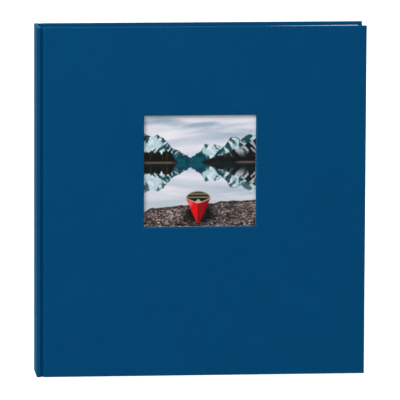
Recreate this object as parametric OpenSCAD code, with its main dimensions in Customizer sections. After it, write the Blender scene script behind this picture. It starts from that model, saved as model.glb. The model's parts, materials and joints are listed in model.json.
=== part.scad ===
// Book-bound scrapbook album with a linen case, a picture window in the front cover,
// card leaves on scored hinges and glassine interleaves.
// X runs from the spine (-X) to the fore-edge (+X), Y from the front cover (-Y) to the
// rear cover (+Y), Z from the tail to the head. The album stands upright on its tail.

/* [Case] */
// Overall width, from the spine's face to the fore-edge of the covers
album_w = 300; // [240:1:360]
// Overall height of the covers
album_h = 320; // [260:1:360]
// Overall thickness of the closed album
album_t = 38; // [38:1:60]
// Thickness of the case boards
board_t = 2.6; // [2:0.1:3]
// Thickness of the linen book cloth
cloth_t = 0.3; // [0.2:0.1:0.4]
// Width of the cloth turned in round the inside of a cover
turn_in = 15; // [10:1:20]
// Gap between the spine board and a cover board, which the cloth sinks into as the joint
joint_gap = 3.7; // [3:0.1:8]
// Bevel on the boards' outer edges along the joint and round the window
bevel = 1; // [0.2:0.1:1.2]
// Margin of cloth left showing round a pastedown
square_margin = 4; // [3:0.5:8]

/* [Window] */
// Clear width and height of the picture window
window_size = 102; // [80:1:120]
// Place of the window's centre along X
window_x = -1.4; // [-20:0.1:20]
// Height of the window's centre above the tail
window_z = 188; // [150:1:200]
// Side of the square picture print
print_size = 110; // [90:1:130]
// Thickness of the picture print
print_t = 0.25; // [0.2:0.05:0.4]
// Width of the glued border of the picture pocket
pocket_border = 8; // [5:1:12]
// Height of the picture that stands out of the pocket, to pull it by
pull_height = 3; // [2:1:8]

/* [Leaves] */
// Number of card leaves, an even number
leaf_count = 20; // [12:2:20]
// Thickness of one card leaf
leaf_t = 0.7; // [0.4:0.1:0.8]
// Thickness of the scored tongue that a leaf bends at
tongue_t = 0.2; // [0.1:0.05:0.3]
// Length of the scored tongue
tongue_l = 4; // [3:1:6]
// Distance from one leaf's middle to the next
leaf_pitch = 1.36; // [1.2:0.01:1.6]
// Distance from the covers' edge to the leaves' edge at head, tail and fore-edge
leaf_inset = 5; // [3:0.5:8]
// Width of the bound-in margin and of the guards between the margins
guard_w = 13; // [10:1:20]
// Thickness of a flyleaf
flyleaf_t = 0.2; // [0.15:0.05:0.3]
// Thickness of a glassine interleaf
interleaf_t = 0.1; // [0.05:0.05:0.15]
// Distance from a leaf's score to the edge of the interleaf tipped onto it
tip_offset = 8; // [8:1:16]

/* [Spine] */
// Radius of the headband's and tailband's bead
bead_r = 1.2; // [1:0.1:2]
// Height of the tape that holds a headband to the spine
band_tape_h = 12; // [8:1:20]

/* [Hidden] */
$fn = 48;
// Clearance between neighbouring pieces
gap = 0.1;
// How far a cutting block runs past what it cuts
past = 1;
// Distance between the ends of layers that are glued over each other
layer_step = 1;
// Play of the picture in its pocket, from front to back, and its distance from the pastedown
picture_play = 0.15;
picture_gap = 0.05;
spine_x = -album_w / 2;
fore_x = album_w / 2;
half_t = album_t / 2;
lining_t = 0.3;
pastedown_t = 0.2;
spacer_t = print_t + picture_play;
backing_t = 0.5;
joint_drop = 2;
spine_in_x = spine_x + cloth_t + board_t;
cover_x = spine_in_x + joint_gap;
hinge_x = spine_in_x + joint_gap / 2;
block_x = spine_in_x + 2 * lining_t;
leaf_x = block_x + guard_w;
leaf_end_x = fore_x - leaf_inset;
board_y = -half_t + cloth_t;
board_in_y = board_y + board_t;
cover_in_y = board_in_y + cloth_t + pastedown_t;
pocket_y = cover_in_y + spacer_t;
block_mid_y = (pocket_y + backing_t - cover_in_y) / 2;
last_sheet = leaf_count + 1;
window_turn = 12;
print_clear = 0.3;
notch_r = 10;

function two(n) = str(n < 10 ? "0" : "", n);
function leaf_name(n) = str("leaf_", two(n));
function interleaf_name(n) = str("interleaf_", two(n));
// Middle of a bound sheet: 0 is the front flyleaf, last_sheet is the rear one
function sheet_y(n) = block_mid_y + (n - last_sheet / 2) * leaf_pitch;
function sheet_t(n) = n == 0 || n == last_sheet ? flyleaf_t : leaf_t;

// A block given by its low and high corners
module span(low, high) {
    translate(low) cube(high - low);
}

// A square hole or sheet centred on the window, between two values of Y
module window_block(size, y_low, y_high) {
    half = size / 2;
    span([window_x - half, y_low, window_z - half], [window_x + half, y_high, window_z + half]);
}

module spine_board() {
    color("tan")
    span([spine_x + cloth_t, board_y, cloth_t], [spine_in_x, -board_y, album_h - cloth_t]);
}

// Linen over the spine board, round its long edges and turned in at head and tail
module spine_cloth() {
    color("midnightblue")
    difference() {
        span([spine_x, -half_t, 0], [spine_in_x + cloth_t, half_t, album_h]);
        span([spine_x + cloth_t, board_y, cloth_t], [spine_in_x, -board_y, album_h - cloth_t]);
        span([spine_in_x, -half_t - past, turn_in], [0, half_t + past, album_h - turn_in]);
        for (side = [-1, 1])
            translate([spine_in_x, side * half_t - joint_drop, -past])
            cube([joint_gap, 2 * joint_drop, album_h + 2 * past]);
    }
}

module spine_lining() {
    end = turn_in + layer_step;
    color("burlywood")
    span([spine_in_x, sheet_y(0), end], [spine_in_x + lining_t, sheet_y(last_sheet), album_h - end]);
}

// Open-weave cloth glued to the backs of the bound margins
module mull() {
    end = leaf_inset + band_tape_h + layer_step;
    color("ivory")
    span([block_x - lining_t, sheet_y(0), end], [block_x, sheet_y(last_sheet), album_h - end]);
}

// A woven bead across the end of the block, on a tape glued to its back
module head_band() {
    top = album_h - leaf_inset;
    length = sheet_y(last_sheet) - sheet_y(0);
    color("white")
    union() {
        translate([block_x + bead_r - lining_t / 2, sheet_y(0), top + bead_r + gap])
        rotate([-90, 0, 0])
        cylinder(r = bead_r, h = length);
        span([block_x - lining_t, sheet_y(0), top - band_tape_h],
            [block_x, sheet_y(last_sheet), top + bead_r]);
    }
}

module headband() {
    head_band();
}

module tailband() {
    translate([0, 0, album_h]) mirror([0, 0, 1]) head_band();
}

// The parts of every sheet that are glued into the spine, one strip for each sheet
module binding_margins() {
    color("ivory")
    for (n = [0:last_sheet])
        span([block_x, sheet_y(n) - sheet_t(n) / 2, leaf_inset],
            [leaf_x - 2 * gap, sheet_y(n) + sheet_t(n) / 2, album_h - leaf_inset]);
}

// Card strips between the margins, which make room for what is stuck on the leaves
module page_guards() {
    color("whitesmoke")
    for (n = [0:leaf_count])
        span([block_x, sheet_y(n) + sheet_t(n) / 2, leaf_inset],
            [leaf_x - layer_step, sheet_y(n + 1) - sheet_t(n + 1) / 2, album_h - leaf_inset]);
}

// The cloth that goes down the spine board's long edge and along the bottom of a joint,
// on the spine's side of its bending line
module joint_cloth() {
    bottom_y = joint_drop - half_t;
    color("midnightblue")
    union() {
        span([spine_in_x, -half_t, 0], [spine_in_x + cloth_t, bottom_y, album_h]);
        span([spine_in_x, bottom_y - cloth_t, 0], [hinge_x - cloth_t, bottom_y, album_h]);
    }
}

module front_joint_cloth() {
    joint_cloth();
}

module rear_joint_cloth() {
    mirror([0, 1, 0]) joint_cloth();
}

// A cover board, bevelled along the joint by a square bar that stands on its edge
module cover_board_blank() {
    bar = bevel * sqrt(2);
    difference() {
        span([cover_x, board_y, cloth_t], [fore_x - cloth_t, board_in_y, album_h - cloth_t]);
        translate([cover_x, board_y, album_h / 2])
        rotate([0, 0, 45])
        cube([bar, bar, album_h], center = true);
    }
}

// Two opposite walls of the board's hole for the window, which opens out by the bevel
module bevelled_walls() {
    half = window_size / 2 + cloth_t;
    wide = half + bevel + past;
    linear_extrude(height = album_h, center = true)
    polygon([
        [-wide, board_y - past], [wide, board_y - past], [half, board_y + bevel],
        [half, 0], [-half, 0], [-half, board_y + bevel]
    ]);
}

// The space inside the turned-in strips, between two values of Y
module cover_middle(y_low, y_high) {
    side = cloth_t + turn_in;
    span([cover_x - past, y_low, side], [fore_x - side, y_high, album_h - side]);
}

// Linen round a board's head, tail and fore-edge, with its turned-in strips, and down
// the board's edge into the joint
module cover_cloth_blank() {
    difference() {
        span([cover_x, -half_t, 0], [fore_x, board_in_y + cloth_t, album_h]);
        span([cover_x - past, board_y, cloth_t], [fore_x - cloth_t, board_in_y, album_h - cloth_t]);
        cover_middle(board_in_y - gap / 2, board_in_y + past);
    }
    span([cover_x - cloth_t, -half_t, 0], [cover_x, joint_drop - half_t, album_h]);
}

// Endpaper over the turned-in strips, thicker inside them, where it fills the hollow
module pastedown_blank() {
    side = cloth_t + turn_in + gap;
    margin = square_margin;
    span([cover_x, board_in_y + cloth_t, margin], [fore_x - margin, cover_in_y, album_h - margin]);
    span([cover_x, board_in_y, side], [fore_x - side, cover_in_y, album_h - side]);
}

// The front board's window is bevelled all round on its outer face
module front_board() {
    color("tan")
    difference() {
        cover_board_blank();
        translate([window_x, 0, window_z])
        intersection() {
            bevelled_walls();
            rotate([0, 90, 0]) bevelled_walls();
        }
    }
}

// The cloth is also turned through the window and glued down behind it
module front_cloth() {
    color("midnightblue")
    difference() {
        union() {
            cover_cloth_blank();
            window_block(window_size + 2 * cloth_t, -half_t, board_in_y + cloth_t);
            window_block(window_size + 2 * window_turn, board_in_y, board_in_y + cloth_t);
        }
        window_block(window_size, -half_t - past, 0);
    }
}

module front_pastedown() {
    color("white")
    difference() {
        pastedown_blank();
        window_block(window_size, -half_t, 0);
        window_block(window_size + 2 * window_turn + gap, -half_t, board_in_y + cloth_t);
    }
}

// Sides and bottom of the picture pocket, open at the head
module pocket_spacer() {
    half = print_size / 2 + print_clear;
    color("ivory")
    difference() {
        span([window_x - half - pocket_border, cover_in_y, window_z - half - pocket_border],
            [window_x + half + pocket_border, pocket_y, window_z + half - pull_height]);
        span([window_x - half, -half_t, window_z - half], [window_x + half, 0, album_h]);
    }
}

// Card behind the picture, with a thumb notch in its upper edge
module pocket_backing() {
    half = print_size / 2 + print_clear;
    color("ivory")
    difference() {
        span([window_x - half - pocket_border, pocket_y, window_z - half - pocket_border],
            [window_x + half + pocket_border, pocket_y + backing_t, window_z + half - pull_height]);
        translate([window_x, -half_t, window_z + half - pull_height])
        rotate([-90, 0, 0])
        cylinder(r = notch_r, h = half_t);
    }
}

module picture_print() {
    front_y = cover_in_y + picture_gap;
    color("lightblue")
    window_block(print_size, front_y, front_y + print_t);
}

module rear_board() {
    color("tan")
    mirror([0, 1, 0]) cover_board_blank();
}

module rear_cloth() {
    color("midnightblue")
    mirror([0, 1, 0]) cover_cloth_blank();
}

module rear_pastedown() {
    color("white")
    mirror([0, 1, 0]) pastedown_blank();
}

// A sheet from its scored edge to the fore-edge
module flyleaf(n) {
    color("white")
    span([leaf_x, sheet_y(n) - flyleaf_t / 2, leaf_inset],
        [leaf_end_x, sheet_y(n) + flyleaf_t / 2, album_h - leaf_inset]);
}

module front_flyleaf() {
    flyleaf(0);
}

module rear_flyleaf() {
    flyleaf(last_sheet);
}

// A card leaf: the thin scored tongue that bends, then the full thickness
module leaf(n) {
    color("white")
    union() {
        span([leaf_x, sheet_y(n) - tongue_t / 2, leaf_inset],
            [leaf_x + tongue_l + past, sheet_y(n) + tongue_t / 2, album_h - leaf_inset]);
        span([leaf_x + tongue_l, sheet_y(n) - leaf_t / 2, leaf_inset],
            [leaf_end_x, sheet_y(n) + leaf_t / 2, album_h - leaf_inset]);
    }
}

// Glassine tipped onto the back of a leaf
module interleaf(n) {
    color("gainsboro", 0.5)
    span([leaf_x + tip_offset, sheet_y(n) + leaf_t / 2, leaf_inset],
        [leaf_end_x - layer_step, sheet_y(n) + leaf_t / 2 + interleaf_t, album_h - leaf_inset]);
}

spine_board();
spine_cloth();
spine_lining();
mull();
headband();
tailband();
binding_margins();
page_guards();
front_joint_cloth();
rear_joint_cloth();
front_board();
front_cloth();
front_pastedown();
pocket_spacer();
pocket_backing();
picture_print();
rear_board();
rear_cloth();
rear_pastedown();
front_flyleaf();
rear_flyleaf();
for (n = [1:leaf_count])
    leaf(n);
for (n = [1:leaf_count - 1])
    interleaf(n);
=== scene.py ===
"""The looks of the scrapbook album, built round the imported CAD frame.

X runs from the spine to the fore-edge, Y from the front cover to the rear cover, and Z from
tail to head. Lengths are in metres.
"""

import json
import math

import bmesh
import bpy
import numpy as np
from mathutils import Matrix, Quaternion, Vector


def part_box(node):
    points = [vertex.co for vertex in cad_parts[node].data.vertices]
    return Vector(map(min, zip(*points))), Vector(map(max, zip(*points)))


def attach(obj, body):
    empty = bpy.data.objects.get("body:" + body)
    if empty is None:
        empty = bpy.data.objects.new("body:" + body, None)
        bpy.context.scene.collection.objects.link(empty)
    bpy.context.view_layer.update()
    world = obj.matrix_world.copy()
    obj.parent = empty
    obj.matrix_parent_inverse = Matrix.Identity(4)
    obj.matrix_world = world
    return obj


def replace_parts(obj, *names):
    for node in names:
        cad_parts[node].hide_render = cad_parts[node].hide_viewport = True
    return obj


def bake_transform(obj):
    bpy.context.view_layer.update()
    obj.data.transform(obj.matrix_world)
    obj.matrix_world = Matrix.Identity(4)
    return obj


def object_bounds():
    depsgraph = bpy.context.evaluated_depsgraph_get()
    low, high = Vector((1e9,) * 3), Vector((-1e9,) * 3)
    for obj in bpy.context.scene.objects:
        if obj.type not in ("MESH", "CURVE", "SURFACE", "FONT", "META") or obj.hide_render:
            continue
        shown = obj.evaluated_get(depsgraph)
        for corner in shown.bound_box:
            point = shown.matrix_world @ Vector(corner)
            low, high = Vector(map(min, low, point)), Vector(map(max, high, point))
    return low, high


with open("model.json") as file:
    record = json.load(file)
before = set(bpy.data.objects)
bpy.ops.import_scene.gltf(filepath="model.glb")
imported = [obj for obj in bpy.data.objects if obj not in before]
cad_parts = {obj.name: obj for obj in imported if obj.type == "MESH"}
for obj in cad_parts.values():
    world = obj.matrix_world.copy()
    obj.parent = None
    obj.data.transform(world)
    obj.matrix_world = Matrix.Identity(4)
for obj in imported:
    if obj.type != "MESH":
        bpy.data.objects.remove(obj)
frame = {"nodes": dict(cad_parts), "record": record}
cad_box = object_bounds()

MM = 0.001
LOW, HIGH = cad_box
CENTRE = (LOW + HIGH) / 2
HEIGHT = HIGH.z
SIDES = {"front": -1, "rear": 1}
LEAVES = sorted(name for name in frame["nodes"] if name.startswith("leaf_"))

# The window's opening is smaller than the picture behind it by this lap on each side.
PICTURE_LAP = 4 * MM
PICTURE_LOW, PICTURE_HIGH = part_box("picture_print")
WINDOW_LOW = PICTURE_LOW + Vector((PICTURE_LAP, 0, PICTURE_LAP))
WINDOW_HIGH = PICTURE_HIGH - Vector((PICTURE_LAP, 0, PICTURE_LAP))


# ---- camera, light and stage

CAMERA_AZIMUTH = math.radians(-5.6)
CAMERA_ELEVATION = math.radians(8.3)
CAMERA_ROLL = math.radians(0.25)
CAMERA_DISTANCE = 5.0
VIEW_WIDTH = 0.3647  # what the picture takes in across the album's middle
AIM_ASIDE = Vector((0.4 * MM, 0, -1.1 * MM))  # where the camera aims, from the album's middle


def add_object(name, data):
    made = bpy.data.objects.new(name, data)
    bpy.context.collection.objects.link(made)
    return made


def make_camera():
    data = bpy.data.cameras.new("camera")
    data.sensor_width = 36
    data.lens = data.sensor_width * CAMERA_DISTANCE / VIEW_WIDTH
    data.clip_end = 60
    camera = add_object("camera", data)
    flat, rise = math.cos(CAMERA_ELEVATION), math.sin(CAMERA_ELEVATION)
    back = Vector((math.sin(CAMERA_AZIMUTH) * flat, -math.cos(CAMERA_AZIMUTH) * flat, rise))
    camera.location = CENTRE + AIM_ASIDE + back * CAMERA_DISTANCE
    level = (-back).to_track_quat("-Z", "Y")
    camera.rotation_euler = (level @ Quaternion((0, 0, 1), CAMERA_ROLL)).to_euler()
    bpy.context.scene.camera = camera


def area_light(name, place, size, watts):
    """A square soft light at place, aimed at the album's middle."""
    data = bpy.data.lights.new(name, "AREA")
    data.size = size
    data.energy = watts
    light = add_object(name, data)
    light.location = place
    light.rotation_euler = (CENTRE - Vector(place)).to_track_quat("-Z", "Y").to_euler()


def make_light():
    scene = bpy.context.scene
    scene.view_settings.view_transform = "Standard"
    world = bpy.data.worlds.new("studio")
    world.use_nodes = True
    background = world.node_tree.nodes["Background"]
    background.inputs["Color"].default_value = (1, 1, 1, 1)
    background.inputs["Strength"].default_value = 0.55
    scene.world = world
    area_light("key", (-1.3, -1.25, 1.45), 0.9, 26)
    area_light("fill", (1.8, -2.4, 0.8), 1.8, 6)
    area_light("back", (0.6, 2.4, 1.8), 1.6, 30)


FLOOR_GLOW = 0.6  # keeps the floor white right up to the horizon


def make_floor():
    mesh = bpy.data.meshes.new("floor")
    reach = 12.0
    corners = [(-reach, -reach, 0), (reach, -reach, 0), (reach, reach, 0), (-reach, reach, 0)]
    mesh.from_pydata(corners, [], [(0, 1, 2, 3)])
    floor = add_object("floor", mesh)
    white = Shader("floor_white")
    white.set(Base_Color=(0.8, 0.8, 0.8), Roughness=1.0, Specular_IOR_Level=0.0)
    white.set(Emission_Color=(1.0, 1.0, 1.0), Emission_Strength=FLOOR_GLOW)
    floor.data.materials.append(white.material)
    floor.visible_diffuse = False
    floor.visible_glossy = False


# ---- materials


class Shader:
    """A node material, built one node at a time."""

    def __init__(self, name):
        self.material = bpy.data.materials.new(name)
        self.material.use_nodes = True
        self.tree = self.material.node_tree
        self.surface = self.tree.nodes["Principled BSDF"]

    def node(self, kind, settings=None, **inputs):
        made = self.tree.nodes.new(kind)
        for key, value in (settings or {}).items():
            setattr(made, key, value)
        for key, value in inputs.items():
            self.feed(made.inputs[key.replace("_", " ")], value)
        return made

    def feed(self, socket, value):
        if isinstance(value, bpy.types.NodeSocket):
            self.tree.links.new(value, socket)
        else:
            socket.default_value = value

    def math(self, operation, *values):
        made = self.node("ShaderNodeMath", {"operation": operation})
        for socket, value in zip(made.inputs, values):
            self.feed(socket, value)
        return made.outputs[0]

    def attribute(self, name, output="Vector"):
        return self.node("ShaderNodeAttribute", {"attribute_name": name}).outputs[output]

    def place(self):
        return self.node("ShaderNodeTexCoord").outputs["Object"]

    def noise(self, vector, scale, detail=2.0, stretch=(1, 1, 1)):
        """A noise from 0 to 1 of that many cells a metre, stretched along the axes."""
        mapping = self.node("ShaderNodeMapping", Vector=vector, Scale=stretch)
        noise = self.node(
            "ShaderNodeTexNoise", Vector=mapping.outputs[0], Scale=scale, Detail=detail
        )
        return noise.outputs["Fac"]

    def mix(self, factor, a, b):
        made = self.node("ShaderNodeMix", {"data_type": "RGBA"})
        for index, value in ((0, factor), (6, a), (7, b)):
            self.feed(made.inputs[index], (*value, 1) if isinstance(value, tuple) else value)
        return made.outputs[2]

    def ramp(self, value, low, high):
        """value brought from the range low to high to the range 0 to 1."""
        made = self.node("ShaderNodeMapRange", Value=value)
        made.inputs["From Min"].default_value = low
        made.inputs["From Max"].default_value = high
        return made.outputs[0]

    def bump(self, height, depth, strength=1.0):
        made = self.node("ShaderNodeBump", Height=height, Strength=strength, Distance=depth)
        self.feed(self.surface.inputs["Normal"], made.outputs[0])

    def set(self, **values):
        for key, value in values.items():
            value = (*value, 1) if isinstance(value, tuple) else value
            self.feed(self.surface.inputs[key.replace("_", " ")], value)


LINEN_PITCH = 0.55 * MM
MULL_PITCH = 0.9 * MM
WEAVE_DRIFT = 1.6  # how many threads a weave wanders by


def plain_weave(shader, vector, pitch):
    """(height of the threads, warp-over-weft mask) of a plain weave in vector's X and Y."""
    wander = shader.noise(vector, 60, 2)
    split = shader.node("ShaderNodeSeparateXYZ", Vector=vector)
    offset = shader.math("MULTIPLY", wander, WEAVE_DRIFT)
    across = shader.math("MULTIPLY_ADD", split.outputs[0], 1 / pitch, offset)
    along = shader.math("MULTIPLY_ADD", split.outputs[1], 1 / pitch, offset)
    profiles = []
    for value in (across, along):
        turn = shader.math("MULTIPLY", shader.math("FRACT", value), math.pi)
        profiles.append(shader.math("SINE", turn))
    cells = shader.math("ADD", shader.math("FLOOR", across), shader.math("FLOOR", along))
    over = shader.math("PINGPONG", cells, 1.0)
    heights = []
    for thread, crossing in (profiles, profiles[::-1]):
        swell = shader.math("MULTIPLY_ADD", crossing, 0.5, 0.5)
        heights.append(shader.math("MULTIPLY", shader.math("SQRT", thread), swell))
    rise = shader.math("SUBTRACT", heights[0], heights[1])
    return shader.math("MULTIPLY_ADD", rise, over, heights[1]), over


LINEN_BLUE = (0.0008, 0.080, 0.212)
LINEN_DARK = (0.0004, 0.050, 0.142)
# The lighter blue below goes on rounded edges: partly wear, partly a painted edge highlight.
LINEN_WEAR_AND_HIGHLIGHT = (0.008, 0.170, 0.340)


def linen_material():
    shader = Shader("linen")
    threads = shader.attribute("thread")
    height, over = plain_weave(shader, threads, LINEN_PITCH)
    slub_along = shader.noise(threads, 900, 2, (1, 0.05, 1))
    slub_across = shader.noise(threads, 900, 2, (0.05, 1, 1))
    slub = shader.node("ShaderNodeMix", Factor=over, A=slub_across, B=slub_along).outputs[0]
    cloudy = shader.noise(threads, 22, 3)
    # The weave's height paints the thread valleys darker and the crowns lighter: painted shade at
    # thread scale. Slub and cloudy noise add random tone.
    shade = shader.math("MULTIPLY_ADD", height, 0.45, shader.math("MULTIPLY", slub, 0.5))
    shade = shader.math("MULTIPLY_ADD", shader.math("SUBTRACT", cloudy, 0.5), 0.25, shade)
    colour = shader.mix(shader.ramp(shade, 0.15, 0.85), LINEN_DARK, LINEN_BLUE)
    # Rounded edges, the joint's walls and the spine's ends are painted lighter blue: partly wear,
    # partly a painted edge highlight.
    rub = shader.math("MULTIPLY", shader.attribute("rub", "Fac"), shader.ramp(slub, 0.35, 0.7))
    colour = shader.mix(shader.math("MULTIPLY", rub, 0.35), colour, LINEN_WEAR_AND_HIGHLIGHT)
    shader.set(Base_Color=colour, Roughness=0.85, Specular_IOR_Level=0.04)
    shader.set(Sheen_Weight=0.4, Sheen_Roughness=0.22, Sheen_Tint=(0.16, 0.66, 0.95))
    relief = shader.math("MULTIPLY_ADD", slub, 0.35, height)
    shader.bump(relief, 0.09 * MM, 0.7)
    return shader.material


def paper_material(name, colour, tooth, depth, roughness=0.9):
    """Paper or card: soft cloudy colour, short fibres and a fine tooth."""
    shader = Shader(name)
    place = shader.place()
    cloudy = shader.noise(place, 35, 3)
    fibres = shader.noise(place, tooth, 4, (1, 1, 0.35))
    tone = shader.math("MULTIPLY_ADD", fibres, 0.5, shader.math("MULTIPLY", cloudy, 0.5))
    darker = tuple(c * 0.93 for c in colour)
    shader.set(Base_Color=shader.mix(shader.ramp(tone, 0.3, 0.7), darker, colour))
    shader.set(Roughness=roughness, Specular_IOR_Level=0.3)
    shader.bump(fibres, depth, 0.5)
    return shader.material


def board_material(name, colour):
    """Grey board or kraft: mottled, with dark and pale specks of fibre."""
    shader = Shader(name)
    place = shader.place()
    fibres = shader.noise(place, 700, 4, (1, 1, 0.3))
    specks = shader.ramp(shader.noise(place, 1500, 1), 0.62, 0.72)
    darker = tuple(c * 0.7 for c in colour)
    base = shader.mix(shader.ramp(fibres, 0.3, 0.7), darker, colour)
    speckled = shader.mix(shader.math("MULTIPLY", specks, 0.5), base, (0.8, 0.75, 0.65))
    shader.set(Base_Color=speckled, Roughness=0.95)
    shader.bump(fibres, 0.08 * MM, 0.6)
    return shader.material


def glassine_material():
    """Thin translucent paper with a faint embossed web."""
    shader = Shader("glassine")
    place = shader.place()
    web = shader.node(
        "ShaderNodeTexVoronoi", {"feature": "DISTANCE_TO_EDGE"}, Vector=place, Scale=140.0
    ).outputs["Distance"]
    line = shader.ramp(web, 0.0, 0.06)
    cloudy = shader.noise(place, 60, 3)
    base = shader.mix(cloudy, (0.80, 0.81, 0.80), (0.90, 0.91, 0.90))
    shader.set(Base_Color=base, Roughness=0.32, Alpha=0.62, Specular_IOR_Level=0.5)
    shader.bump(line, 0.05 * MM, 0.5)
    return shader.material


def mull_material():
    shader = Shader("mull")
    place = shader.place()
    turned = shader.node("ShaderNodeMapping", Vector=place, Rotation=(0, math.pi / 2, 0))
    height, _ = plain_weave(shader, turned.outputs[0], MULL_PITCH)
    colour = shader.mix(height, (0.32, 0.28, 0.22), (0.86, 0.82, 0.73))
    shader.set(Base_Color=colour, Roughness=0.95)
    shader.bump(height, 0.2 * MM, 0.8)
    return shader.material


def picture_material():
    """A satin print, coloured by the painting on its points."""
    shader = Shader("picture_print")
    grain = shader.noise(shader.place(), 1800, 2)
    shader.set(Base_Color=shader.attribute("paint", "Color"), Roughness=0.55)
    shader.set(Specular_IOR_Level=0.12)
    shader.bump(grain, 0.01 * MM, 0.3)
    return shader.material


def thread_material():
    """Spun cotton in the colours painted on the points."""
    shader = Shader("headband_thread")
    place = shader.place()
    twist = shader.noise(place, 2500, 3, (1, 0.3, 1))
    colour = shader.attribute("paint", "Color")
    colour = shader.mix(shader.math("MULTIPLY", twist, 0.3), colour, (0.2, 0.2, 0.2))
    shader.set(Base_Color=colour, Roughness=0.75, Sheen_Weight=0.05)
    shader.bump(twist, 0.05 * MM, 0.6)
    return shader.material


# ---- mesh tools

WELD = 0.03 * MM  # points this close become one
TINY = 0.01 * MM
SHARP = 40  # corners over that many degrees stay sharp


def new_piece(mesh, slot, body=None, material=None, sharp_from=SHARP):
    """An object under its mesh's name, smooth up to an angle in degrees. A piece given no
    body is left unattached."""
    piece = add_object(mesh.name, mesh)
    mesh.materials.append(MATERIALS[material or slot])
    mesh.shade_smooth()
    if sharp_from is not None:
        mesh.set_sharp_from_angle(angle=math.radians(sharp_from))
    if body:
        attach(piece, body)
    return piece


def quads(rows, columns, closed=False, keep=None):
    """The faces of a grid of points, as indices. keep(row, column) says which are wanted."""
    faces = []
    for row in range(rows - 1):
        for column in range(columns if closed else columns - 1):
            if keep is None or keep(row, column):
                after = (column + 1) % columns
                low, high = row * columns, (row + 1) * columns
                faces.append((low + column, low + after, high + after, high + column))
    return faces


def face_outwards(mesh, weld=False):
    """Turns a mesh's faces outwards, and first welds its grids if it has several."""
    shape = bmesh.new()
    shape.from_mesh(mesh)
    if weld:
        bmesh.ops.remove_doubles(shape, verts=shape.verts, dist=WELD)
        bmesh.ops.dissolve_degenerate(shape, edges=shape.edges, dist=TINY)
    bmesh.ops.recalc_face_normals(shape, faces=shape.faces)
    loose = [v for v in shape.verts if not v.link_faces]
    bmesh.ops.delete(shape, geom=loose, context="VERTS")
    shape.to_mesh(mesh)
    shape.free()


def paint_points(mesh, colours):
    """Writes a linear colour on each point."""
    write_points(mesh, "paint", "FLOAT_COLOR", "color", np.insert(colours, 3, 1, axis=1))


def write_points(mesh, name, kind, field, values):
    """Writes values on a mesh's points, for a material to read."""
    layer = mesh.attributes.new(name, kind, "POINT")
    layer.data.foreach_set(field, np.asarray(values, np.float32).ravel())


class Patches:
    """Grids of points that share borders, welded into one mesh with attributes."""

    def __init__(self):
        self.points, self.threads, self.rubs, self.faces = [], [], [], []

    def grid(self, points, threads, rubs, keep=None, closed=False):
        rows, columns = points.shape[:2]
        first = sum(len(p) for p in self.points)
        self.points.append(points.reshape(-1, 3))
        self.threads.append(threads.reshape(-1, 2))
        self.rubs.append(np.broadcast_to(rubs, (rows, columns)).reshape(-1))
        for face in quads(rows, columns, closed, keep):
            self.faces.append(tuple(first + index for index in face))

    def mesh(self, name):
        mesh = bpy.data.meshes.new(name)
        mesh.from_pydata(np.concatenate(self.points).tolist(), [], self.faces)
        threads = np.concatenate(self.threads)
        write_points(mesh, "thread", "FLOAT_VECTOR", "vector", np.insert(threads, 2, 0, axis=1))
        write_points(mesh, "rub", "FLOAT", "value", np.concatenate(self.rubs))
        face_outwards(mesh, weld=True)
        return mesh


def solidify(piece, thickness):
    """Gives a sheet its thickness, inwards from its face."""
    modifier = piece.modifiers.new("thickness", "SOLIDIFY")
    modifier.thickness = thickness
    modifier.offset = -1
    bpy.context.view_layer.objects.active = piece
    piece.select_set(True)
    bpy.ops.object.modifier_apply(modifier=modifier.name)
    piece.select_set(False)


# ---- the linen case

CLOTH = 0.25 * MM  # thickness of the cloth, a little under the CAD cloth's
CLOTH_SHARP = 60  # the angle that it is smooth up to
TURN_IN = 15 * MM  # how far it is turned in behind a cover's edges
WINDOW_TURN_IN = 11 * MM  # and behind the window's
FACE_IN = 2 * MM  # where the flat face starts, in from the edge
ARC = 6  # steps in each arc

# How round the cloth bends:
EDGE_R = 0.7 * MM  # over a board's edge
EDGE_R_SHARE = 0.48  # and at most that share of the thickness there
CORNER_R = 0.6 * MM  # at a cover's corner, seen from the front
WINDOW_R = 1.8 * MM  # over the window's bevelled edge
WINDOW_BACK_R = 0.5 * MM  # over its edge inside the cover
WINDOW_CORNER_R = 0.9 * MM  # at its corners, seen from the front
SPINE_R = 0.7 * MM  # over the spine's long edge
GAP_R = 0.3 * MM  # into the gap between the boards
JOINT_R = 1.8 * MM  # out of the gap, over a cover's bevelled edge

JOINT_DIP = 2.4 * MM  # how deep the joint is
JOINT_BULGE = 0.2 * MM  # how far the inner cloth sinks between the boards
SPINE_CREEP = 0.1 * MM  # how far it moves on while the outer cloth rounds the spine's edge
END_WEAR_AND_HIGHLIGHT = 0.8  # how much lighter the cloth is painted at the spine's head and tail: wear and a painted edge highlight

HOLE_LOW = np.array([WINDOW_LOW.x, WINDOW_LOW.z])
HOLE_HIGH = np.array([WINDOW_HIGH.x, WINDOW_HIGH.z])


def arc_steps(start=0, stop=math.pi / 2, count=ARC):
    return np.linspace(start, stop, count + 1)


def edge_section(thickness, radius):
    """The cloth's way round a board's edge: rows of (inset from the edge, depth behind the
    face), from the flat face to the end of the turned-in strip."""
    rows = [(FACE_IN, 0.0)]
    for middle, angles in (
        (radius, arc_steps()),
        (thickness - radius, arc_steps(math.pi / 2, math.pi)),
    ):
        for a in angles:
            rows.append((radius - radius * math.sin(a), middle - radius * math.cos(a)))
    rows += [(FACE_IN, thickness), (TURN_IN, thickness)]
    return np.array(rows)


def lengths_along(rows):
    steps = np.linalg.norm(np.diff(rows, axis=0), axis=1)
    return np.concatenate([[0], np.cumsum(steps)])


def corner_points(x, z, radius, start):
    """Points and outward directions of a quarter circle that begins at angle start."""
    angles = arc_steps(start, start + math.pi / 2)
    directions = np.column_stack([np.cos(angles), np.sin(angles)])
    return np.array([x, z]) + radius * directions, directions


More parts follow.
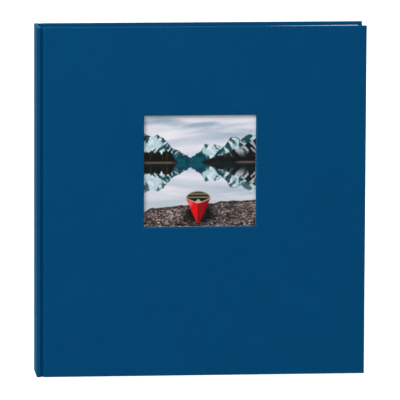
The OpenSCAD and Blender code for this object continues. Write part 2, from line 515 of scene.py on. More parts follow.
def straight(values, other, along_x, low, high, direction):
    """A straight run of points with one coordinate held, clipped to low and high."""
    values = np.clip(values, low, high)
    held = np.full(len(values), other)
    points = np.column_stack([values, held] if along_x else [held, values])
    return points, np.tile(np.array(direction, float), (len(values), 1))


def rounded_path(low, high, r, xs, zs, all_round):
    """Points and directions along a rectangle's tail, right side and head, and its left side
    if it goes all round."""
    (x0, z0), (x1, z1) = low, high
    left = x0 + r if all_round else x0
    runs = [
        straight(xs, z0, True, left, x1 - r, (0, -1)),
        corner_points(x1 - r, z0 + r, r, -math.pi / 2),
        straight(zs, x1, False, z0 + r, z1 - r, (1, 0)),
        corner_points(x1 - r, z1 - r, r, 0),
        straight(xs[::-1], z1, True, left, x1 - r, (0, 1)),
    ]
    if all_round:
        runs += [
            corner_points(x0 + r, z1 - r, r, math.pi / 2),
            straight(zs[::-1], x0, False, z0 + r, z1 - r, (-1, 0)),
            corner_points(x0 + r, z0 + r, r, math.pi),
        ]
    return tuple(np.concatenate(part) for part in zip(*runs))


def joint_profile(front_y, spine_in_x, cover_x, thickness):
    """The case's outline from the middle of the spine to the cover board: outer and inner
    points, and how much lighter each is painted, for wear and a painted edge highlight."""
    outer, inner, rub = [], [], []
    inner_x, inner_y = LOW.x + thickness, front_y + thickness
    for y in np.linspace(0, front_y + SPINE_R, 9):
        outer.append((LOW.x, y))
        inner.append((inner_x, y * inner_y / (front_y + SPINE_R)))
        rub.append(0.0)
    # The spine's rounded edge is painted lighter: wear and a painted highlight.
    for a in arc_steps()[1:]:
        outer.append((LOW.x + SPINE_R * (1 - math.cos(a)), front_y + SPINE_R * (1 - math.sin(a))))
        inner.append((inner_x, inner_y - SPINE_CREEP * a))
        rub.append(math.sin(2 * a) * 0.8 + 0.2)
    stop_x = cover_x - GAP_R + JOINT_R
    start_x = inner[-1][0]

    def add(x, depth, wear_and_highlight):
        share = (x - spine_in_x) / (stop_x - spine_in_x)
        inside_x = start_x + (stop_x - start_x) * share
        over_gap = min(1.0, (inside_x - start_x) / (cover_x - start_x))
        outer.append((x, front_y + depth))
        inner.append((inside_x, inner_y - JOINT_BULGE * math.sin(math.pi * over_gap)))
        rub.append(wear_and_highlight)

    for a in arc_steps(count=4):
        add(spine_in_x + GAP_R * math.sin(a), GAP_R * (1 - math.cos(a)), 0.25)
    left, right = spine_in_x + GAP_R, cover_x - GAP_R
    for share in np.linspace(0, 1, 13)[1:-1]:
        edge = GAP_R + (JOINT_R - GAP_R) * share
        sag = (JOINT_DIP - edge) * math.sin(math.pi * share) ** 1.2
        add(left + (right - left) * share, edge + sag, 0.0)
    # The cover's bevelled edge out of the joint is painted lighter: wear and a painted highlight.
    for a in arc_steps(math.pi / 2, 0, 8):
        wear_and_highlight = 0.35 * math.sin(2 * a)
        add(stop_x - JOINT_R * math.sin(a), JOINT_R * (1 - math.cos(a)), wear_and_highlight)
    return np.array(outer), np.array(inner), np.array(rub)


def grid_lines(axis, start, end, counts):
    """Where a cover's face is divided, in step with the window and the ring round it. Axis 0
    is X and axis 1 is Z."""
    firsts = start, HOLE_LOW[axis] + FACE_IN, HOLE_HIGH[axis] + FACE_IN
    lasts = HOLE_LOW[axis] - FACE_IN, HOLE_HIGH[axis] - FACE_IN, end
    return np.concatenate([np.linspace(*run) for run in zip(firsts, lasts, counts)])


def add_face(patches, front_y, xs, zs, windowed):
    """A cover's flat outer face, left open round the window."""
    grid_x, grid_z = np.meshgrid(xs, zs)
    flat = np.stack([grid_x, np.full_like(grid_x, front_y), grid_z], axis=-1)

    def keep(row, column):
        middle = np.array([xs[column] + xs[column + 1], zs[row] + zs[row + 1]]) / 2
        inside = (middle > HOLE_LOW - FACE_IN) & (middle < HOLE_HIGH + FACE_IN)
        return not (windowed and inside.all())

    patches.grid(flat, np.stack([grid_x, grid_z], axis=-1), 0.0, keep)


def sweep(patches, section, wear_and_highlight, corner_r, box_at, front_y, lines, all_round=False):
    """Lays the cloth along a cover's sides, or all round inside its window. box_at(inset) is
    the rectangle for a row of the section."""
    base, direction = rounded_path(*box_at(FACE_IN), 0.0, *lines, all_round)
    out = -1 if all_round else 1
    rows, threads = [], []
    for (inset, depth), length in zip(section, lengths_along(section)):
        radius = corner_r * max(0.0, 1 - inset / FACE_IN)
        path, _ = rounded_path(*box_at(inset), radius, *lines, all_round)
        rows.append(np.insert(path, 1, front_y + depth, axis=1))
        threads.append(base + out * direction * length)
    patches.grid(np.array(rows), np.array(threads), np.array(wear_and_highlight)[:, None], closed=all_round)


def add_edges(patches, front_y, thickness, face_x, lines):
    """The cloth's way over a cover's tail, fore-edge and head, and in behind the board."""

    def box_at(inset):
        return (face_x, inset), (HIGH.x - inset, HEIGHT - inset)

    # The rounded edges are painted lighter along the bend: wear and a painted edge highlight.
    bend = [math.sin(a) for a in arc_steps(0, math.pi, 2 * ARC + 1)]
    section, wear_and_highlight = edge_section(thickness, EDGE_R), [0.0, *bend, 0.0, 0.0]
    sweep(patches, section, wear_and_highlight, CORNER_R, box_at, front_y, lines)


def add_window(patches, front_y, thickness, xs, zs):
    """The cloth's way through the window and onto the board's inner face."""

    def box_at(outset):
        return HOLE_LOW - outset, HOLE_HIGH + outset

    section = [(FACE_IN, 0.0)]
    for a in arc_steps():
        section.append((WINDOW_R * (1 - math.sin(a)), WINDOW_R * (1 - math.cos(a))))
    for a in arc_steps():
        depth = thickness - WINDOW_BACK_R * (1 - math.sin(a))
        section.append((WINDOW_BACK_R * (1 - math.cos(a)), depth))
    section = np.array([*section, (WINDOW_TURN_IN, thickness)])
    # The window's bevel is painted lighter: wear and a painted highlight.
    wear_and_highlight = [0.0, *(math.sin(2 * a) for a in arc_steps())] + [0.0] * (ARC + 2)
    xs = xs[(xs > HOLE_LOW[0]) & (xs < HOLE_HIGH[0])]
    zs = zs[(zs > HOLE_LOW[1]) & (zs < HOLE_HIGH[1])]
    sweep(patches, section, wear_and_highlight, WINDOW_CORNER_R, box_at, front_y, (xs, zs), True)


def add_joint(patches, outer, inner, joint_wear_and_highlight, zs):
    """The cloth of the spine and the joint, turned in over both at tail and head."""
    gaps = np.linalg.norm(inner - outer, axis=1)
    radii = np.minimum(EDGE_R, gaps * EDGE_R_SHARE)
    along = lengths_along(outer)
    thread_x = outer[-1, 0] - (along[-1] - along)
    inwards = (inner - outer) / gaps[:, None]
    sections = np.array([edge_section(gap, radius) for gap, radius in zip(gaps, radii)])
    reaches = np.array([lengths_along(section) for section in sections]) - FACE_IN
    rows, threads, rubs = [], [], []

    def add_row(points, z, thread_z, wear_and_highlight=0.0):
        rows.append(np.column_stack([points, np.broadcast_to(z, len(points))]))
        threads.append(np.column_stack([thread_x, np.broadcast_to(thread_z, len(points))]))
        rubs.append(np.maximum(joint_wear_and_highlight, wear_and_highlight))

    def add_end_row(index, head):
        (inset, depth), reach = sections[:, index].T, reaches[:, index]
        points = outer + inwards * depth[:, None]
        # The rounded edges of the turned ends are painted lighter: wear and a painted edge
        # highlight.
        wear_and_highlight = END_WEAR_AND_HIGHLIGHT if index <= 2 * ARC + 2 else 0.0
        if head:
            add_row(points, HEIGHT - inset, HEIGHT + reach, wear_and_highlight)
        else:
            add_row(points, inset, -reach, wear_and_highlight)

    ends = range(1, len(sections[0]))
    for index in reversed(ends):
        add_end_row(index, False)
    for z in zs:
        add_row(outer, z, z)
    for index in ends:
        add_end_row(index, True)
    patches.grid(np.array(rows), np.array(threads), np.array(rubs))


def show_face(mesh, front_y):
    """Makes the flat outer face look along -Y, on cloth that isn't closed yet."""
    outer = [p for p in mesh.polygons if abs(p.center.y - front_y) < TINY]
    if max(outer, key=lambda p: p.area).normal.y > 0:
        mesh.flip_normals()


def case_cloth(side, cover_x, front_y, thickness):
    """Half of the case's cloth: a cover, its joint and its half of the spine. It is built as
    the front half, and the rear half is its mirror copy, without the window."""
    spine_in_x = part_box("spine_board")[1].x
    outer, inner, joint_wear_and_highlight = joint_profile(front_y, spine_in_x, cover_x, thickness)
    face_x = outer[-1, 0]
    xs = grid_lines(0, face_x, HIGH.x - FACE_IN, (12, 14, 14))
    zs = grid_lines(1, FACE_IN, HEIGHT - FACE_IN, (18, 14, 12))
    patches = Patches()
    add_face(patches, front_y, xs, zs, side == "front")
    add_edges(patches, front_y, thickness, face_x, (xs, zs))
    if side == "front":
        add_window(patches, front_y, thickness, xs, zs)
    add_joint(patches, outer, inner, joint_wear_and_highlight, zs)
    mesh = patches.mesh(f"case_cloth_{side}")
    show_face(mesh, front_y)
    if side == "rear":
        for vertex in mesh.vertices:
            vertex.co.y = -vertex.co.y
        mesh.flip_normals()
    piece = new_piece(mesh, "linen", sharp_from=None)
    solidify(piece, CLOTH)
    piece.data.set_sharp_from_angle(angle=math.radians(CLOTH_SHARP))
    return piece


def make_case():
    cover_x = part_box("front_board")[0].x
    cloth_low, cloth_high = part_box("front_cloth")
    thickness = cloth_high.y - cloth_low.y
    for side in SIDES:
        piece = case_cloth(side, cover_x, cloth_low.y, thickness)
        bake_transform(piece)
        nodes = [f"{side}_cloth", f"{side}_joint_cloth"]
        if side == "front":
            nodes.append("spine_cloth")
        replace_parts(piece, *nodes)


# ---- paper


def border_ring(rows, columns):
    """The indices round a grid's border, in order."""
    grid = np.arange(rows * columns).reshape(rows, columns)
    sides = grid[0, :-1], grid[:-1, -1], grid[-1, :0:-1], grid[:0:-1, 0]
    return np.concatenate(sides).tolist()


def closed_sheet(name, front, back):
    """A closed mesh between two grids of points, each as its X, its Y and its Z."""
    size = front[0].shape
    points = np.concatenate([np.stack(grid, axis=-1).reshape(-1, 3) for grid in (front, back)])
    count = len(points) // 2
    faces = quads(*size)
    faces += [tuple(count + index for index in reversed(face)) for face in faces]
    ring = border_ring(*size)
    for a, b in zip(ring, ring[1:] + ring[:1]):
        faces.append((b, a, count + a, count + b))
    mesh = bpy.data.meshes.new(name)
    mesh.from_pydata(points.tolist(), [], faces)
    face_outwards(mesh)
    return mesh


def flat_sheet(name, low, high, columns, rows):
    """A thin closed sheet that fills a box whose thin side is along X or Y."""
    across = 1 if high.x - low.x < high.y - low.y else 0
    spread = np.linspace(low[across], high[across], columns)
    spread, zs = np.meshgrid(spread, np.linspace(low.z, high.z, rows))
    grids = []
    for corner in (low, high):
        held = np.full_like(zs, corner[1 - across])
        grids.append((held, spread, zs) if across else (spread, held, zs))
    return closed_sheet(name, *grids)


TONGUE = 4 * MM  # length of the scored tongue that a leaf bends at
TONGUE_T = 0.2 * MM
SCORE_RISE = 0.8 * MM  # how far a score takes to come up to the full thickness
WAVE = 0.16 * MM  # how far a sheet waves off its plane
WAVE_STEP = 0.9  # how the wave of each leaf differs from the one before
GLASSINE_T = 0.04 * MM
GLASSINE_GAP = 0.03 * MM  # from a leaf to its interleaf, where it is tipped on
GLASSINE_LIFT = 0.08 * MM  # how much more at its far edge
GLASSINE_TRIM = 1 * MM  # how much shorter it is than the leaf's node at head and tail


def leaf_wave(xs, zs, root_x, end_x, phase):
    """How far a sheet stands off its plane: nothing at the root, a soft wave further out."""
    reach = np.clip((xs - root_x) / (end_x - root_x), 0, 1)
    rise = reach * reach * (3 - 2 * reach)
    turn = 2 * math.pi * zs / HEIGHT
    wave = 0.55 * np.sin(turn + phase) + 0.3 * np.sin(2 * turn + 2.3 * phase)
    wave += 0.35 * np.cos(1.5 * math.pi * reach + phase)
    return WAVE * rise * wave


def make_leaf(name, phase, slot):
    """A leaf that bends at its scored tongue and waves a little towards its fore-edge."""
    low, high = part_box(name)
    score_x = low.x + TONGUE
    near = np.linspace(low.x, score_x, 9)
    rise = np.linspace(score_x, score_x + SCORE_RISE, 4)[1:]
    far = np.linspace(score_x + SCORE_RISE, high.x, 22)[1:]
    rows = np.linspace(low.z, high.z, 19)
    xs, zs = np.meshgrid(np.concatenate([near, rise, far]), rows)
    thickness = high.y - low.y
    tongue_t = min(TONGUE_T, thickness)
    share = np.clip((xs - low.x - TONGUE) / SCORE_RISE, 0, 1)
    half = (tongue_t + (thickness - tongue_t) * share) / 2
    middle = (low.y + high.y) / 2 + leaf_wave(xs, zs, low.x, high.x, phase)
    mesh = closed_sheet(f"{name}_sheet", (xs, middle - half, zs), (xs, middle + half, zs))
    piece = new_piece(mesh, slot)
    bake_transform(piece)
    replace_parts(piece, name)


def make_leaves():
    for index, name in enumerate(LEAVES):
        make_leaf(name, WAVE_STEP * index, "leaf_card")
    make_leaf("front_flyleaf", 5.0, "endpaper")
    make_leaf("rear_flyleaf", 2.0, "endpaper")


def make_interleaves():
    """Glassine that lies on the back of each leaf and lifts a little away from it."""
    for index, leaf in enumerate(LEAVES[:-1]):
        name = f"inter{leaf}"
        low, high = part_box(name)
        leaf_low, leaf_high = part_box(leaf)
        columns = np.linspace(low.x, high.x, 30)
        rows = np.linspace(low.z + GLASSINE_TRIM, high.z - GLASSINE_TRIM, 24)
        xs, zs = np.meshgrid(columns, rows)
        on_leaf = leaf_wave(xs, zs, leaf_low.x, leaf_high.x, WAVE_STEP * index)
        lift = GLASSINE_LIFT * np.clip((xs - low.x) / (high.x - low.x), 0, 1)
        lift = lift * (1 + 0.6 * np.sin(zs * 45 + index) * np.cos(xs * 30 + 2 * index))
        face = leaf_high.y + on_leaf + GLASSINE_GAP + lift
        mesh = closed_sheet(f"{name}_sheet", (xs, face, zs), (xs, face + GLASSINE_T, zs))
        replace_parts(new_piece(mesh, "glassine", leaf), name)


ENDPAPER_T = 0.15 * MM
FOLD_LIFT = 0.02 * MM  # how far a fold stands off the papers that it lies on
FOLD_LAP = 2 * MM  # how far it lies on the cover, past the board's edge
FOLD_OUT = 0.4 * MM  # how far its bend comes out past the board's edge


def fold_path(start, stop, bend_x, sign):
    """A fold's way in X and Y, straight out to its round bend and straight back."""
    radius = abs(stop[1] - start[1]) / 2
    middle = (start[1] + stop[1]) / 2
    near, far = (np.array([bend_x + radius, end[1]]) for end in (start, stop))
    path = [start + (near - start) * t for t in np.linspace(0, 1, 8)]
    for a in arc_steps(0, math.pi, 24)[1:-1]:
        y = middle + sign * radius * math.cos(a)
        path.append(np.array([bend_x + radius * (1 - math.sin(a)), y]))
    path += [far + (stop - far) * t for t in np.linspace(0, 1, 8)]
    return np.array(path)


def make_endpaper_folds():
    """The strip of endpaper that crosses the inner joint, from the pastedown to the flyleaf's
    bound margin."""
    margins_low, margins_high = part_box("binding_margins")
    board_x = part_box("front_board")[0].x
    for side, sign in SIDES.items():
        cover_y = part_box(f"{side}_pastedown")[1 if sign < 0 else 0].y - sign * FOLD_LIFT
        block_y = (margins_low.y if sign < 0 else margins_high.y) + sign * FOLD_LIFT
        start = np.array([board_x + FOLD_LAP, cover_y])
        stop = np.array([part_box(f"{side}_flyleaf")[0].x, block_y])
        path = fold_path(start, stop, board_x - FOLD_OUT, sign)
        steps = np.gradient(path, axis=0)
        normals = np.column_stack([steps[:, 1], -steps[:, 0]])
        normals /= np.linalg.norm(steps, axis=1)[:, None]
        grids = []
        for line in (path, path - normals * ENDPAPER_T * sign):
            xs, zs = np.meshgrid(line[:, 0], np.linspace(margins_low.z, margins_high.z, 24))
            grids.append((xs, np.broadcast_to(line[:, 1], xs.shape), zs))
        piece = new_piece(closed_sheet(f"{side}_endpaper_fold", *grids), "endpaper")
        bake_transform(piece)


PASTEDOWN_SKEW = 1.6 * MM  # how much higher its fore-edge side was glued


def make_rear_pastedown():
    """The endpaper glued inside the rear cover, a little askew as a hand-made one is."""
    low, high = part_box("rear_pastedown")
    far = Vector((high.x, low.y + ENDPAPER_T, high.z))
    mesh = flat_sheet("rear_endpaper", low, far, 30, 30)
    for vertex in mesh.vertices:
        share = (vertex.co.x - low.x) / (high.x - low.x)
        vertex.co.z += PASTEDOWN_SKEW * (share - 0.5)
    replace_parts(new_piece(mesh, "endpaper", "rear_cover"), "rear_pastedown")


def spine_sheet(name, low, high, columns, rows, slot, material):
    """A sheet stretched over the back of the block."""
    mesh = flat_sheet(name, low, high, columns, rows)
    piece = new_piece(mesh, slot, "text_block", material)
    return piece


def make_mull():
    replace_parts(spine_sheet("mull_cloth", *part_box("mull"), 12, 40, "mull", "mull"), "mull")


# ---- headbands

BEAD_R = 1.2 * MM
THREAD_RISE = 0.10 * MM  # how far a thread stands out of the bead
THREAD_W = 0.45 * MM
BEAD_END = 0.4 * MM  # how far the bead takes to draw in at each end
STRIPE = 4  # winds of thread in each stripe
LIGHT_BLUE = (0.06, 0.20, 0.36)
DARK_BLUE = (0.004, 0.035, 0.10)
TAPE_T = 0.25 * MM


def make_headbands():
    """A bead wound with threads, in stripes, on a tape glued to the block's back."""
    for name, head in (("headband", True), ("tailband", False)):
        low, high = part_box(name)
        bead_x = high.x - BEAD_R
        bead_z = high.z - BEAD_R if head else low.z + BEAD_R
        length = high.y - low.y
        winds = int(length / THREAD_W)
        ys = np.linspace(low.y, high.y, winds * 6 + 1)
        rise = THREAD_RISE * np.abs(np.sin(math.pi * winds * (ys - low.y) / length))
        taper = np.minimum(1, np.minimum(ys - low.y, high.y - ys) / BEAD_END)
        radii = (BEAD_R - THREAD_RISE) * np.sqrt(np.clip(taper, 0.15, 1)) + rise * taper
        ring = np.linspace(0, 2 * math.pi, 20, endpoint=False)
        rows, columns = len(ys), len(ring)
        xs = bead_x + radii[:, None] * np.cos(ring)
        zs = bead_z + radii[:, None] * np.sin(ring)
        points = np.stack([xs, np.broadcast_to(ys[:, None], xs.shape), zs], axis=-1)
        faces = [(a, d, c, b) for a, b, c, d in quads(rows, columns, closed=True)]
        faces.append(tuple(range(columns)))
        faces.append(tuple(reversed(range((rows - 1) * columns, rows * columns))))
        mesh = bpy.data.meshes.new(f"{name}_weave")
        mesh.from_pydata(points.reshape(-1, 3).tolist(), [], faces)
        wind = np.minimum((ys - low.y) / length * winds, winds - 1).astype(int)
        colours = [DARK_BLUE if (w // STRIPE) % 2 else LIGHT_BLUE for w in wind]
        paint_points(mesh, np.repeat(np.array(colours), columns, axis=0))
        piece = new_piece(mesh, "headband", "text_block", sharp_from=None)
        corner = Vector((low.x, low.y, low.z if head else bead_z))
        far = Vector((low.x + TAPE_T, high.y, bead_z if head else high.z))
        spine_sheet(f"{name}_tape", corner, far, 40, 12, "headband", "tape")
        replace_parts(piece, name)


# ---- the picture

FIELD = 256  # random numbers along each side of a field


def random_field(seed):
    return np.random.default_rng(seed).random((FIELD, FIELD))


def value_noise(x, y, seed):
    """Smooth noise from 0 to 1, one cell a unit."""
    field = random_field(seed)
    x0, y0 = np.floor(x).astype(int), np.floor(y).astype(int)
    fx, fy = x - x0, y - y0
    fx, fy = fx * fx * (3 - 2 * fx), fy * fy * (3 - 2 * fy)
    x0, x1, y0, y1 = x0 % FIELD, (x0 + 1) % FIELD, y0 % FIELD, (y0 + 1) % FIELD
    low = field[x0, y0] * (1 - fx) + field[x1, y0] * fx
    high = field[x0, y1] * (1 - fx) + field[x1, y1] * fx
    return low * (1 - fy) + high * fy


def fractal(x, y, seed, octaves=4):
    """Value noise at several scales, from 0 to 1."""
    total, weight = 0.0, 0.0
    for octave in range(octaves):
        share, finer = 0.5**octave, 2**octave
        noise = value_noise(x * finer + 17.3 * octave, y * finer + 5, seed + octave)
        total = total + share * noise
        weight += share
    return total / weight


def step(value, softness):
    """0 below zero, 1 above it, with an edge that soft."""
    return np.clip(value / softness + 0.5, 0, 1)


def cover(under, colour, amount):
    """Lays a colour over a picture or another colour, by an amount from 0 to 1."""
    amount = np.clip(amount, 0, 1)[..., None]
    return np.asarray(under) * (1 - amount) + np.asarray(colour) * amount


def mottled(u, v, under, over, cells, seed, octaves, gain, less):
    """One colour with patches of another, of that many cells across and up."""
    patches = fractal(u * cells[0], v * cells[1], seed, octaves)
    return cover(under, over, patches * gain - less)


HORIZON = 0.575
SOFT = 0.006  # how soft an outline is

# Skylines, as a row of u and a row of v, from left to right.
LEFT = (0, 0.07, 0.13, 0.24, 0.33, 0.42, 1), (0.845, 0.80, 0.815, 0.735, 0.67, 0.60, 0.4)
MIDDLE = (
    (0, 0.36, 0.50, 0.54, 0.60, 0.66, 0.74, 1),
    (0.4, 0.57, 0.665, 0.73, 0.715, 0.75, 0.70, 0.66),
)
RIGHT = (0, 0.60, 0.72, 0.78, 0.86, 0.95, 1), (0.3, 0.62, 0.705, 0.79, 0.775, 0.85, 0.81)
HILLS = (0, 0.24, 0.34, 0.42, 0.50, 0.60, 1), (0.5, 0.60, 0.645, 0.615, 0.665, 0.60, 0.5)
SLOPE = (0, 0.55, 0.62, 0.72, 0.86, 1), (0.4, 0.585, 0.615, 0.645, 0.705, 0.785)

# Each range: its skyline, how rough and how fine that is, the lean of its gullies, its shares
# of snow and of haze, and the seeds of its skyline and its face.
RANGES = (
    (MIDDLE, 0.045, 12, -0.5, 0.60, 0.5, 27, 41),
    (LEFT, 0.05, 9, 0.9, 0.50, 0.5, 21, 51),
    (RIGHT, 0.05, 10, -0.9, 0.48, 0.3, 33, 61),
)


def ridge_line(u, points, rough, cells, seed):
    """A mountain's skyline through a few points, broken up by noise."""
    base = np.interp(u, *points)
    crags = np.abs(fractal(u * cells, u * 0 + 3, seed, 5) - 0.5) * 2
    return base + rough * (0.35 - crags)


def mountain(u, v, top, lean, snow_share, haze, seed):
    """Rock with snow in gullies that run down a slope. lean turns the gullies."""
    across = (u - lean * v) * 40
    down = (v + lean * u) * 13
    bend = 2.6 * fractal(u * 9, v * 9, seed + 9, 3)
    gully = fractal(across + bend, down + bend, seed, 4)
    patch = fractal(u * 11, v * 14, seed + 5, 4)
    depth = top - v
    bare_crest = 0.9 * np.clip(0.012 - depth, 0, 1) * 8
    snow = step(gully * 0.62 + patch * 0.38 - (1 - snow_share) - bare_crest, 0.06)
    rock = mottled(u, v, (0.07, 0.15, 0.19), (0.16, 0.36, 0.40), (30, 34), seed + 7, 3, 1.4, 0.2)
    rock = cover(rock, (0.20, 0.42, 0.46), haze * np.clip(depth * 6, 0, 1))
    white = mottled(u, v, (0.90, 0.95, 0.97), (0.62, 0.76, 0.80), (40, 40), seed + 8, 2, 1.5, 0.4)
    return cover(rock, white, snow)


def paint_sky(u, v):
    streaks = fractal(u * 2.2 + v * 3 + 3, v * 15 - u * 1.5, 11, 5)
    wisps = fractal(u * 3 + 9, v * 20, 15, 4)
    high = np.clip((v - 0.70) * 4, 0, 1)
    sky = cover((0.86, 0.87, 0.92), (0.96, 0.95, 0.98), (streaks - 0.40) * 3.2)
    sky = cover(sky, (0.64, 0.72, 0.79), (0.50 - streaks) * 4.5 * high)
    sky = cover(sky, (0.95, 0.96, 0.98), (wisps - 0.55) * 4 * high)
    top = np.clip((v - 0.955) * 22, 0, 1) * (0.4 + 0.6 * streaks)
    return cover(sky, (0.70, 0.72, 0.74), top)


def paint_hills(picture, u, v):
    """Blue-green hills at the lake's far end."""
    top = ridge_line(u, HILLS, 0.03, 14, 71)
    teal = mottled(u, v, (0.03, 0.36, 0.42), (0.02, 0.22, 0.28), (26, 30), 72, 3, 1.8, 0.4)
    return cover(picture, teal, step(top - v, SOFT))


def paint_slope(picture, u, v):
    """A dark slope on the right, with chutes of snow high up."""
    top = ridge_line(u, SLOPE, 0.02, 16, 81)
    chutes = fractal((u + 0.9 * v) * 44, (v - 0.9 * u) * 9, 82, 4)
    dark = mottled(u, v, (0.04, 0.06, 0.07), (0.11, 0.12, 0.12), (40, 60), 83, 3, 1.6, 0.3)
    above = np.clip((v - 0.615) * 16, 0, 1) * np.clip((u - 0.66) * 8, 0, 1)
    dark = cover(dark, (0.74, 0.79, 0.82), step(chutes - 0.555, 0.07) * above * 0.9)
    return cover(picture, dark, step(top - v, SOFT))


def paint_forest(picture, u, v):
    """Dark trees on the left, and a strip of beach under both sides."""
    crowns = 0.05 * fractal(u * 46, u * 0, 91, 2)
    crowns = crowns + 0.03 * np.abs(fractal(u * 90, u * 0, 92, 1) - 0.5)
    top = HORIZON + (0.065 + crowns) * np.clip((0.30 - u) * 14, 0, 1)
    trunks = step(fractal(u * 90, v * 14, 93, 3) - 0.60, 0.14)
    bark = cover((0.045, 0.065, 0.055), (0.19, 0.13, 0.09), trunks)
    picture = cover(picture, bark, step(top - v, SOFT))
    beach = step(0.005 - np.abs(v - HORIZON - 0.004), 0.004) * step(np.abs(u - 0.55) - 0.28, 0.06)
    return cover(picture, (0.50, 0.40, 0.35), beach * 0.8)


def paint_far_side(u, v):
    """Sky, mountains and forest above the far shore."""
    picture = paint_sky(u, v)
    for points, rough, cells, lean, snow, haze, line_seed, face_seed in RANGES:
        top = ridge_line(u, points, rough, cells, line_seed)
        face = mountain(u, v, top, lean, snow, haze, face_seed)
        picture = cover(picture, face, step(top - v, SOFT))
    for paint in (paint_hills, paint_slope, paint_forest):
        picture = paint(picture, u, v)
    return picture


def paint_lake(u, v):
    """The far side again, upside down, stretched a little and broken by ripples."""
    below = HORIZON - v
    swell = 0.008 + 0.22 * np.clip(below, 0, 1) ** 1.5
    ripple = (fractal(u * 7, v * 80, 101, 3) - 0.5) * swell
    lake = paint_far_side(u + ripple, HORIZON + np.abs(below) * 0.98 + ripple * 0.4)
    lake = cover(lake, (0.10, 0.36, 0.40), (0.10 - below) * 1.5)
    pale = mottled(u, v, (0.78, 0.82, 0.84), (0.86, 0.88, 0.90), (3, 30), 103, 3, 1.6, 0.3)
    return cover(lake, pale, np.clip((below - 0.14) * 2.6, 0, 0.75))


def pebbles(x, y, seed):
    """(distance to the nearest pebble's middle, that pebble's tone), one pebble a cell."""
    nearest, tone = np.full(x.shape, 9.0), np.zeros(x.shape)
    place_x, place_y, shade = (random_field(seed + k) for k in range(3))
    for dx in (-1, 0, 1):
        for dy in (-1, 0, 1):
            cx, cy = np.floor(x).astype(int) + dx, np.floor(y).astype(int) + dy
            cell = cx % FIELD, cy % FIELD
            away = np.hypot(x - cx - place_x[cell], y - cy - place_y[cell])
            tone = np.where(away < nearest, shade[cell], tone)
            nearest = np.minimum(away, nearest)
    return nearest, tone


def paint_shore(picture, u, v):
    """Pebbles along the near shore, smaller further away."""
    edge = np.interp(u, [0, 0.06, 0.38, 0.62, 0.68, 1], [0.135, 0.165, 0.195, 0.20, 0.222, 0.235])
    edge = edge + 0.02 * (fractal(u * 16, u * 0, 111, 4) - 0.5)
    nearness = 1 + 1.1 * np.clip(v / 0.22, 0, 1)
    stone = (0.10, 0.085, 0.085)
    for cells, size, seed in ((26, 0.42, 112), (44, 0.46, 116)):
        nearest, tone = pebbles(u * cells, v * cells * 1.5 * nearness, seed)
        face = cover((0.20, 0.165, 0.16), (0.72, 0.64, 0.62), tone**1.4)
        face = cover(face, (0.88, 0.83, 0.80), (0.22 - nearest) * 3.5 * tone)
        stone = cover(stone, face, step(size - nearest, 0.16))
    rough = fractal(u * 120, v * 150, 121, 2)
    blotch = fractal(u * 15, v * 24, 123, 3)
    stone = stone * (0.25 + 0.62 * rough + 0.85 * blotch)[..., None]
    wet = np.clip((v - edge + 0.022) * 40, 0, 0.75)
    stone = cover(stone, (0.13, 0.10, 0.09), wet)
    return cover(picture, stone, step(edge - v, SOFT))


# The canoe's middle, half its beam, and the heights of its bow's foot, its foredeck, and the
# widest part of its rim.
CANOE, BEAM = 0.487, 0.108
BOW_V, DECK_V, BEAM_V = 0.022, 0.212, 0.252


def paint_canoe(picture, u, v):
    """An empty red canoe drawn up on the shore, seen from its bow."""
    side = np.abs(u - CANOE)
    share = np.clip(side / BEAM, 0, 1)
    shadow = np.hypot((u - CANOE - 0.02) / 0.15, (v - 0.11) / 0.11)
    dark = step(0.85 - shadow, 0.6) * step(0.215 - v, 0.02) * 0.85
    picture = cover(picture, (0.03, 0.03, 0.035), dark)
    rise = np.clip((v - BOW_V) / (BEAM_V - BOW_V), 0, 1)
    rim_v = DECK_V + (BEAM_V - DECK_V) * share**1.3
    hull = step(BEAM * rise**0.86 - side, SOFT) * step(rim_v - v, SOFT) * step(v - BOW_V, SOFT)
    red = cover((0.62, 0.02, 0.06), (0.90, 0.07, 0.08), step(CANOE - u, 0.012))
    shade = step(share - 0.72 * rise**0.5, 0.5) * 0.5 * (u > CANOE)
    red = cover(red, (0.45, 0.01, 0.03), shade)
    glow = np.hypot((u - CANOE + 0.075) / 0.035, (v - 0.205) / 0.045)
    red = cover(red, (1.0, 0.45, 0.45), 1 - glow)
    red = cover(red, (0.30, 0.0, 0.02), step(0.0035 - side, 0.004) * 0.8)
    picture = cover(picture, red, hull)
    far_v = BEAM_V + 0.066 * np.sqrt(1 - share**2)
    opened = step(BEAM - side, SOFT) * step(far_v - v, SOFT) * step(v - rim_v, SOFT)
    inside = cover((0.10, 0.11, 0.10), (0.30, 0.31, 0.27), (v - 0.262) * 16)
    well = np.hypot(u - CANOE, (v - 0.243) * 1.8)
    inside = cover(inside, (0.04, 0.05, 0.06), step(0.05 - well, 0.03))
    for bar_v, half in ((0.262, 0.006), (0.292, 0.005)):
        inside = cover(inside, (0.55, 0.50, 0.36), step(half - np.abs(v - bar_v), 0.004))
    foredeck = step(0.04 - side - (v - DECK_V) * 1.1, 0.01)
    inside = cover(inside, (0.72, 0.70, 0.64), foredeck)
    picture = cover(picture, inside, opened)
    rim = np.minimum(np.abs(v - rim_v), np.abs(v - far_v) * 0.9)
    rail = step(0.0045 - rim, 0.004) * step(BEAM + 0.004 - side, 0.004)
    return cover(picture, (0.80, 0.76, 0.70), rail * 0.85)


def paint_landscape(u, v):
    """A made-up mountain lake with a red canoe on its shore. u and v run from 0 to 1."""
    picture = cover(paint_lake(u, v), paint_far_side(u, v), step(v - HORIZON, SOFT))
    picture = paint_canoe(paint_shore(picture, u, v), u, v)
    return np.clip(picture, 0, 1)


def to_linear(colour):
    return np.where(colour <= 0.04045, colour / 12.92, ((colour + 0.055) / 1.055) ** 2.4)


PICTURE_POINTS = 220  # along each side of the painting
PAPER_WHITE = 0.86


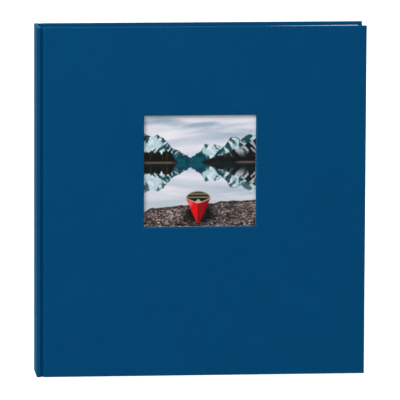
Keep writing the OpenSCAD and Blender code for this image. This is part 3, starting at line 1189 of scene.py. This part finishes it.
def make_picture():
    """The print in its pocket: the painting on a fine grid, and one plain face at its back."""
    count = PICTURE_POINTS
    low, high = PICTURE_LOW, PICTURE_HIGH
    xs, zs = np.meshgrid(np.linspace(low.x, high.x, count), np.linspace(low.z, high.z, count))
    points = np.stack([xs, np.full_like(xs, low.y), zs], axis=-1).reshape(-1, 3)
    ring = border_ring(count, count)
    back = points[ring] * (1, 0, 1) + (0, high.y, 0)
    faces = quads(count, count)
    first, around = len(points), len(ring)
    for index, (a, b) in enumerate(zip(ring, ring[1:] + ring[:1])):
        faces.append((b, a, first + index, first + (index + 1) % around))
    faces.append(tuple(reversed(range(first, first + around))))
    mesh = bpy.data.meshes.new("picture_landscape")
    mesh.from_pydata(np.concatenate([points, back]).tolist(), [], faces)
    face_outwards(mesh)
    u = (xs - WINDOW_LOW.x) / (WINDOW_HIGH.x - WINDOW_LOW.x)
    v = (zs - WINDOW_LOW.z) / (WINDOW_HIGH.z - WINDOW_LOW.z)
    aside = (u[0, 1] - u[0, 0]) / 4
    shifts = [(du, dv) for du in (-aside, aside) for dv in (-aside, aside)]
    samples = [to_linear(paint_landscape(u + du, v + dv)) for du, dv in shifts]
    colours = np.mean(samples, axis=0).reshape(-1, 3)
    paint_points(mesh, np.concatenate([colours, np.full((around, 3), PAPER_WHITE)]))
    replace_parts(new_piece(mesh, "picture", "picture"), "picture_print")


# ---- the build

MATERIALS = {
    "linen": linen_material(),
    "board": board_material("grey_board", (0.36, 0.31, 0.25)),
    "kraft": board_material("kraft_paper", (0.42, 0.26, 0.13)),
    "mull": mull_material(),
    "headband": thread_material(),
    "tape": paper_material("headband_tape", (0.80, 0.78, 0.72), 1800, 0.06 * MM),
    "leaf_card": paper_material("leaf_card", (0.88, 0.87, 0.83), 1200, 0.05 * MM),
    "endpaper": paper_material("endpaper", (0.90, 0.89, 0.86), 900, 0.04 * MM),
    "pocket_card": paper_material("pocket_card", (0.84, 0.82, 0.77), 1500, 0.03 * MM),
    "picture": picture_material(),
    "glassine": glassine_material(),
}


def dress_cad_nodes():
    """Gives every CAD node the material of its slot."""
    for part in frame["record"]["subparts"]:
        node = frame["nodes"][part["node"]]
        node.data.materials.clear()
        node.data.materials.append(MATERIALS[part["material_slot"]])


make_camera()
make_light()
make_floor()
dress_cad_nodes()
make_case()
make_leaves()
make_interleaves()
make_endpaper_folds()
make_rear_pastedown()
make_mull()
make_headbands()
make_picture()
